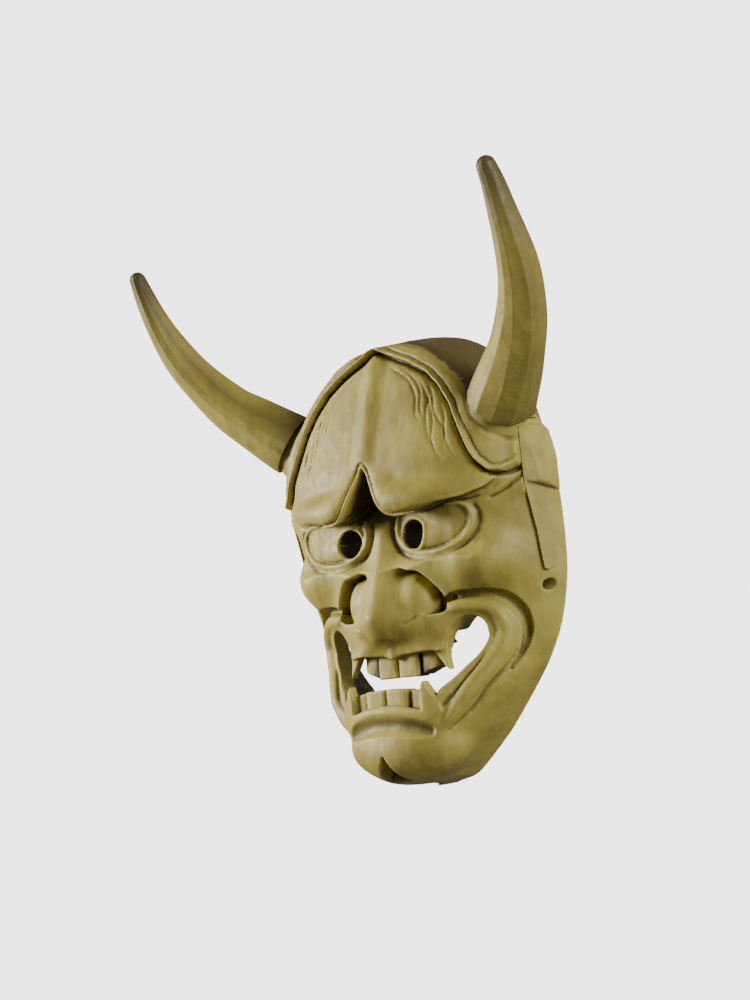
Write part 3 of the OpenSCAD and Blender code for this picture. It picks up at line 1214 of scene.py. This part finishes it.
def flip(piece: bpy.types.Object) -> None:
    """Turns a piece of the mask's left into its mirror image on the right.

    Args:
        piece: the piece, whose mesh is changed.
    """
    bm = bmesh.new()
    bm.from_mesh(piece.data)
    bmesh.ops.scale(bm, vec=(-1, 1, 1), verts=bm.verts)
    bmesh.ops.reverse_faces(bm, faces=bm.faces)
    bm.to_mesh(piece.data)
    bm.free()


# ---------------------------------------------------------------- finishes

class Graph:
    """A material's node graph, with short ways to add to it."""

    def __init__(self, name: str) -> None:
        """Starts a material that has only its shader.

        Args:
            name: the material's name.
        """
        self.material = bpy.data.materials.new(name)
        self.material.use_nodes = True
        self.tree = self.material.node_tree
        self.shader = self.tree.nodes["Principled BSDF"]
        self.spot = self.add("ShaderNodeTexCoord").outputs["Object"]

    def add(self, kind: str, **facts: object) -> bpy.types.Node:
        """Adds a node.

        Args:
            kind: the node's type.
            **facts: settings of the node, by name.

        Returns:
            The new node.
        """
        node = self.tree.nodes.new(kind)
        for key, value in facts.items():
            setattr(node, key, value)
        return node

    def join(self, source: object, target: bpy.types.NodeSocket) -> None:
        """Feeds an input.

        Args:
            source: a socket to link, or a plain value to set.
            target: the input.
        """
        if isinstance(source, bpy.types.NodeSocket):
            self.tree.links.new(source, target)
        else:
            target.default_value = source

    def sized(self, size: Point, turn: Point = (0, 0, 0)) -> bpy.types.NodeSocket:
        """Turns and scales the coordinates.

        Args:
            size: the scale along each axis.
            turn: the turn about each axis, in radians.

        Returns:
            The new coordinates.
        """
        node = self.add("ShaderNodeMapping")
        self.join(self.spot, node.inputs["Vector"])
        node.inputs["Scale"].default_value = size
        node.inputs["Rotation"].default_value = turn
        return node.outputs[0]

    def noise(self, place: object, scale: float, detail: float = 3,
              rough: float = 0.55) -> bpy.types.NodeSocket:
        """Adds a noise.

        Args:
            place: the coordinates that it reads.
            scale: its scale, per metre.
            detail: how many finer layers it has.
            rough: how strong the finer layers are.

        Returns:
            Its value, from 0 to 1.
        """
        node = self.add("ShaderNodeTexNoise")
        self.join(place, node.inputs["Vector"])
        for key, value in (("Scale", scale), ("Detail", detail), ("Roughness", rough)):
            node.inputs[key].default_value = value
        return node.outputs["Fac"]

    def ramp(self, value: object, low: float, high: float,
             out: Spot = (0, 1)) -> bpy.types.NodeSocket:
        """Maps a value smoothly.

        Args:
            value: the value.
            low: where the map starts; it may be above high.
            high: where the map ends.
            out: the results at low and at high.

        Returns:
            The mapped value.
        """
        node = self.add("ShaderNodeMapRange", interpolation_type="SMOOTHSTEP")
        self.join(value, node.inputs["Value"])
        limits = {"From Min": low, "From Max": high, "To Min": out[0], "To Max": out[1]}
        for key, number in limits.items():
            node.inputs[key].default_value = number
        return node.outputs[0]

    def mix(self, share: object, a: object, b: object) -> bpy.types.NodeSocket:
        """Mixes two colours.

        Args:
            share: how much of b is in the mix, from 0 to 1.
            a: the first colour.
            b: the second colour.

        Returns:
            The mixed colour.
        """
        node = self.add("ShaderNodeMix", data_type="RGBA")
        factor, first, second = node.inputs[0], node.inputs[6], node.inputs[7]
        for source, target in ((share, factor), (a, first), (b, second)):
            self.join(source + (1,) if isinstance(source, tuple) else source, target)
        return node.outputs[2]

    def bump(self, height: object, depth: float, normal: object = None) -> bpy.types.NodeSocket:
        """Lays a height on the surface.

        Args:
            height: the height, from 0 to 1.
            depth: how deep it is, in metres.
            normal: the normal that it is laid on; none is the plain surface's.

        Returns:
            The new normal.
        """
        node = self.add("ShaderNodeBump")
        node.inputs["Distance"].default_value = depth
        node.inputs["Strength"].default_value = 1
        self.join(height, node.inputs["Height"])
        if normal is not None:
            self.join(normal, node.inputs["Normal"])
        return node.outputs[0]

    def mark(self, name: str) -> bpy.types.NodeSocket:
        """Returns a value that the piece holds at each of its points."""
        return self.add("ShaderNodeAttribute", attribute_name=name).outputs["Fac"]


class Cut(Enum):
    """What a piece of wood is carved into, which settles the marks that it holds."""

    PLAIN = "plain"
    EAR = "ear"
    FACE = "face"
    HORN = "horn"


@dataclass(frozen=True)
class Wood:
    """Bare carved cypress, darker in its hollows with dust and painted shade.

    Attributes:
        name: the material's name.
        cut: what the piece is carved into.
        light: the colour of the worn, raised wood.
        dark: the colour of the darker patches.
        dust_and_shade: the colour of dust and painted shade in the hollows, of a horn's darker tip,
            and of the painted shadow at a horn's foot.
        fibre: the colour of the darker fibres.
        fleck: the colour of the small flecks.
        edge: the colour on convex edges, as wear and a painted highlight.
        dark_facet: the colour of a horn's darker facets, painted shade down one side and a dark
            stripe.
        crown: the colour of the top of the head, behind the hair.
        inside: the colour of the dark back, and of the walls of the openings as painted shade.
        grain: how the grain is turned about each axis, in radians.
    """

    name: str
    cut: Cut = Cut.PLAIN
    light: Point = (0.395, 0.320, 0.060)
    dark: Point = (0.270, 0.205, 0.032)
    dust_and_shade: Point = (0.040, 0.026, 0.008)
    fibre: Point = (0.20, 0.14, 0.03)
    fleck: Point = (0.25, 0.22, 0.04)
    edge: Point = (0.53, 0.45, 0.11)
    dark_facet: Point = (0.11, 0.075, 0.02)
    crown: Point = (0.075, 0.050, 0.018)
    inside: Point = (0.035, 0.023, 0.012)
    grain: Point = (0.0, 0.0, 0.0)

    def age(self, g: Graph, colour: bpy.types.NodeSocket) -> bpy.types.NodeSocket:
        """Adds painted shade and highlights, dust, wear and the dark back, by the marks that its
        piece holds.

        Args:
            g: the material's graph.
            colour: the plain wood's colour.

        Returns:
            The colour with these added.
        """
        if self.cut is Cut.HORN:
            along = g.mark("along")
            # Painted shade on the horn's darker facets
            colour = g.mix(g.ramp(g.mark("stripe"), 0.1, 1.0, (0, 0.5)), colour, self.dark_facet)
            # Darker towards the tip
            colour = g.mix(g.ramp(along, 0.62, 1.0, (0, 0.8)), colour, self.dust_and_shade)
            # Painted shadow of the head on the horn's foot
            colour = g.mix(g.ramp(along, 0.16, 0.0, (0, 0.35)), colour, self.dust_and_shade)
        if self.cut in (Cut.EAR, Cut.FACE):
            hollow = g.mark("hollow")
            # Dust and painted shade in the hollows
            colour = g.mix(g.ramp(hollow, 0.12, 0.95, (0, 0.85)), colour, self.dust_and_shade)
            # Lighter on convex edges, as wear and a painted highlight
            colour = g.mix(g.ramp(hollow, -0.25, -0.9, (0, 0.5)), colour, self.edge)
        if self.cut is Cut.FACE:
            colour = g.mix(g.ramp(g.mark("crown"), 0.2, 0.8, (0, 0.86)), colour, self.crown)
            # The dark back, and painted shade on the walls of the openings
            colour = g.mix(g.ramp(g.mark("depth"), 0.70, 0.82, (0, 0.93)), colour, self.inside)
        return colour

    def build(self) -> bpy.types.Material:
        """Makes the material.

        Returns:
            The finished wood.
        """
        g = Graph(self.name)
        long_way = g.sized((1, 1, 0.09), self.grain)
        wave = g.add("ShaderNodeTexWave", wave_type="BANDS", bands_direction="X")
        g.join(long_way, wave.inputs["Vector"])
        for key, value in (("Scale", 95), ("Distortion", 5.5), ("Detail", 2.5),
                           ("Detail Scale", 0.6)):
            wave.inputs[key].default_value = value
        fibre = g.noise(long_way, 1500, 2)
        patch = g.noise(g.spot, 34, 4, 0.6)
        fleck = g.noise(g.spot, 260, 3, 0.6)
        colour = g.mix(g.ramp(patch, 0.33, 0.68), self.light, self.dark)
        colour = g.mix(g.ramp(wave.outputs["Fac"], 0.35, 1.0, (0, 0.17)), colour, self.dark)
        colour = g.mix(g.ramp(fibre, 0.5, 0.8, (0, 0.22)), colour, self.fibre)
        colour = g.mix(g.ramp(fleck, 0.6, 0.76, (0, 0.25)), colour, self.fleck)
        g.join(self.age(g, colour), g.shader.inputs["Base Color"])
        g.join(g.ramp(fleck, 0.3, 0.8, (0.52, 0.68)), g.shader.inputs["Roughness"])
        g.shader.inputs["Specular IOR Level"].default_value = 0.42
        # Shallow marks of the gouge, then the flecks and the fibres on them
        gouge = g.add("ShaderNodeTexVoronoi", feature="SMOOTH_F1")
        g.join(g.sized((1, 1, 0.45), (0.3, 0.2, 0.5)), gouge.inputs["Vector"])
        gouge.inputs["Scale"].default_value = 190
        gouge.inputs["Smoothness"].default_value = 0.35
        normal = g.bump(gouge.outputs["Distance"], 0.0003)
        normal = g.bump(fleck, 0.00016, normal)
        normal = g.bump(fibre, 0.00006, normal)
        g.join(normal, g.shader.inputs["Normal"])
        return g.material


# ---------------------------------------------------------------- camera, light and stage

@dataclass(frozen=True)
class Studio:
    """The camera, the lights and the pale stage around the mask.

    Attributes:
        eye: the camera's place in metres.
        ahead: the direction that it looks in.
        roll: how far it is rolled, in degrees.
        lens: its focal length in mm.
        sky: how bright the light from all round is.
        paper: how bright the stage is.
        room: the length of the stage's sides in metres.
        floor: how far the stage's floor is below the mask's origin, in metres.
    """

    eye: Point = (0.5306, -0.6399, -0.0557)
    ahead: Point = (-0.65830, 0.74658, 0.09622)
    roll: float = -5.62
    lens: float = 64.8
    sky: float = 0.27
    paper: float = 3.4
    room: float = 9.0
    floor: float = 0.6

    def set_camera(self) -> None:
        """Places the camera that the scene is seen through."""
        data = bpy.data.cameras.new("camera")
        data.lens = self.lens
        camera = bpy.data.objects.new("camera", data)
        bpy.context.scene.collection.objects.link(camera)
        aim = Vector(self.ahead).to_track_quat("-Z", "Y").to_matrix().to_4x4()
        turn = Matrix.Rotation(math.radians(self.roll), 4, "Z")
        camera.matrix_world = Matrix.Translation(self.eye) @ aim @ turn
        bpy.context.scene.camera = camera

    def add_area(self, name: str, spot: Point, size: float, power: float, tint: Point) -> None:
        """Adds one soft light that faces the mask.

        Args:
            name: the light's name.
            spot: its place in metres.
            size: the length of its sides in metres.
            power: its power in watts.
            tint: its colour.
        """
        data = bpy.data.lights.new(name, "AREA")
        data.size, data.energy, data.color = size, power, tint
        lamp = bpy.data.objects.new(name, data)
        lamp.location = spot
        lamp.rotation_euler = (-Vector(spot)).to_track_quat("-Z", "Y").to_euler()
        bpy.context.scene.collection.objects.link(lamp)

    def light(self) -> None:
        """Lights the mask softly from its own right, as in a plain studio."""
        world = bpy.data.worlds.new("world")
        world.use_nodes = True
        light = world.node_tree.nodes["Background"].inputs
        light["Color"].default_value = (0.8, 0.8, 0.8, 1)
        light["Strength"].default_value = self.sky
        bpy.context.scene.world = world
        self.add_area("key", (-1.08, -0.62, 0.30), 0.32, 36, (1, 0.975, 0.88))
        self.add_area("fill", (1.2, -0.15, 0.35), 0.5, 17, (0.98, 0.99, 1))

    def build_stage(self) -> None:
        """Sets the mask in a plain pale room whose floor and walls are one even tone."""
        bm = bmesh.new()
        bmesh.ops.create_cube(bm, size=self.room)
        bmesh.ops.translate(bm, verts=bm.verts, vec=(0, 0, self.room / 2 - self.floor))
        bmesh.ops.reverse_faces(bm, faces=bm.faces)
        data = bpy.data.meshes.new("sweep")
        bm.to_mesh(data)
        bm.free()
        sweep = bpy.data.objects.new("sweep", data)
        bpy.context.scene.collection.objects.link(sweep)
        sweep.visible_diffuse = sweep.visible_glossy = sweep.visible_shadow = False
        paper = Graph("pale_paper")
        paper.shader.inputs["Base Color"].default_value = (0.8, 0.8, 0.8, 1)
        paper.shader.inputs["Roughness"].default_value = 0.9
        paper.shader.inputs["Specular IOR Level"].default_value = 0.0
        paper.shader.inputs["Emission Color"].default_value = (1, 1, 1, 1)
        paper.shader.inputs["Emission Strength"].default_value = self.paper
        data.materials.append(paper.material)


def fit(piece: bpy.types.Object, wood: Wood, body: str, node: str) -> None:
    """Finishes one piece and ties it to the frame.

    Args:
        piece: the finished piece.
        wood: its finish.
        body: the body that it rides on.
        node: the CAD node that it stands for.
    """
    piece.data.materials.clear()
    piece.data.materials.append(wood.build())
    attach(piece, body)
    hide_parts(node)
    log.info("%s: %d faces, on %s", piece.name, len(piece.data.polygons), body)


def finish_tenon(side: Side) -> None:
    """Gives a horn's tenon, whose CAD shape is right, its wood.

    Args:
        side: the side of the mask that it is on.
    """
    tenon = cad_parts["horn_tenon_" + side.word]
    wood = Wood("tenon_wood_" + side.word, light=(0.50, 0.42, 0.17))
    tenon.data.materials.clear()
    tenon.data.materials.append(wood.build())
    log.info("%s: the CAD node, finished", tenon.name)


def main() -> None:
    """Builds the mask around its frame, piece by piece."""
    logging.basicConfig(level=logging.INFO, format="%(message)s")
    studio = Studio()
    studio.set_camera()
    studio.light()
    studio.build_stage()
    fit(Face().carve(), Wood("face_wood", Cut.FACE), "mask", "mask_shell")
    for side in Side:
        horn, ear = "horn_" + side.word, "ear_" + side.word
        grain = (0, 0.6 * side.value, 0)
        fit(Horn(side).build(), Wood("horn_wood_" + side.word, Cut.HORN, grain=grain), horn, horn)
        fit(Ear(side).build(), Wood("ear_wood_" + side.word, Cut.EAR), "mask", ear)
        finish_tenon(side)


if __name__ == "__main__":
    main()
